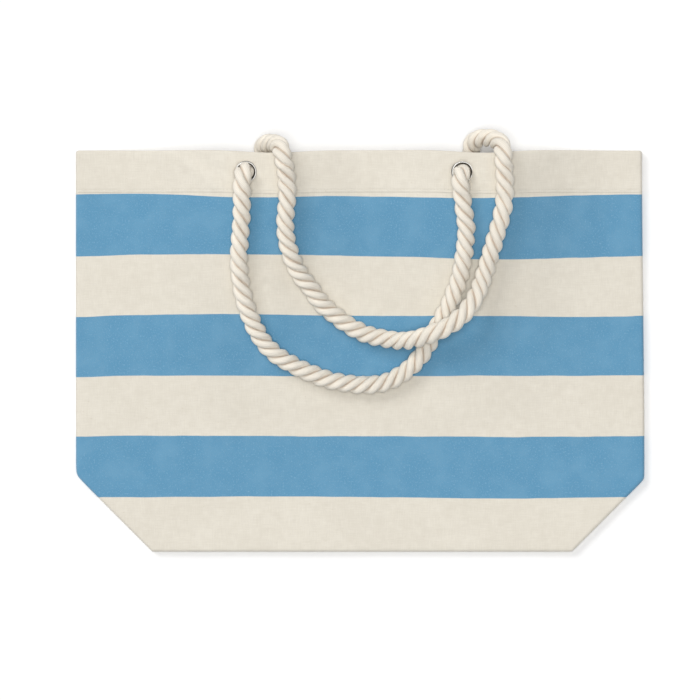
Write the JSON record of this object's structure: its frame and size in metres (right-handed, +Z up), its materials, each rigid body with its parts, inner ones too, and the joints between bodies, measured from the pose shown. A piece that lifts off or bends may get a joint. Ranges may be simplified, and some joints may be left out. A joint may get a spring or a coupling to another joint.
{
  "type": "canvas tote bag",
  "caption": "Wide striped canvas beach tote with boxed base corners, metal eyelets and two thick twisted rope handles, empty and lying flat.",
  "frame": {"origin": "centre of the outline seen from above, on the table the bag lies on", "axes": "+X across the bag to the right as its front is seen, +Y from the base to the mouth, +Z up from the table, out of the front panel"},
  "size_m": [0.55, 0.4086, 0.0739],
  "materials": {
    "striped_canvas": "natural cotton canvas, plain weave, printed with broad blue stripes",
    "natural_canvas": "undyed cotton canvas, plain weave",
    "cotton_rope": "soft three-strand twisted cotton, undyed",
    "nickel": "polished nickel plate"
  },
  "bodies": {
    "bag": {"front_panel": "striped_canvas", "back_panel": "striped_canvas", "front_hem": "natural_canvas", "back_hem": "natural_canvas", "base_front_half": "natural_canvas", "base_back_half": "natural_canvas", "base_seam": "natural_canvas", "left_side_seam": "natural_canvas", "right_side_seam": "natural_canvas", "front_left_eyelet": "nickel", "front_left_washer": "nickel", "front_right_eyelet": "nickel", "front_right_washer": "nickel", "rear_left_eyelet": "nickel", "rear_left_washer": "nickel", "rear_right_eyelet": "nickel", "rear_right_washer": "nickel", "front_left_rope_end": "cotton_rope", "front_right_rope_end": "cotton_rope", "rear_left_rope_end": "cotton_rope", "rear_right_rope_end": "cotton_rope"},
    "front_handle": {"front_handle": "cotton_rope"},
    "rear_handle": {"rear_handle": "cotton_rope"}
  },
  "joints": [
    {"name": "front_handle_swing", "type": "hinge", "parent": "bag", "child": "front_handle", "pos_m": [0, 0.16365, 0.064], "axis": [-1, 0, 0], "range_deg": [0, 170]},
    {"name": "rear_handle_swing", "type": "hinge", "parent": "bag", "child": "rear_handle", "pos_m": [0, 0.19515, 0.03665], "axis": [-1, 0, 0], "range_deg": [0, 175]}
  ]
}
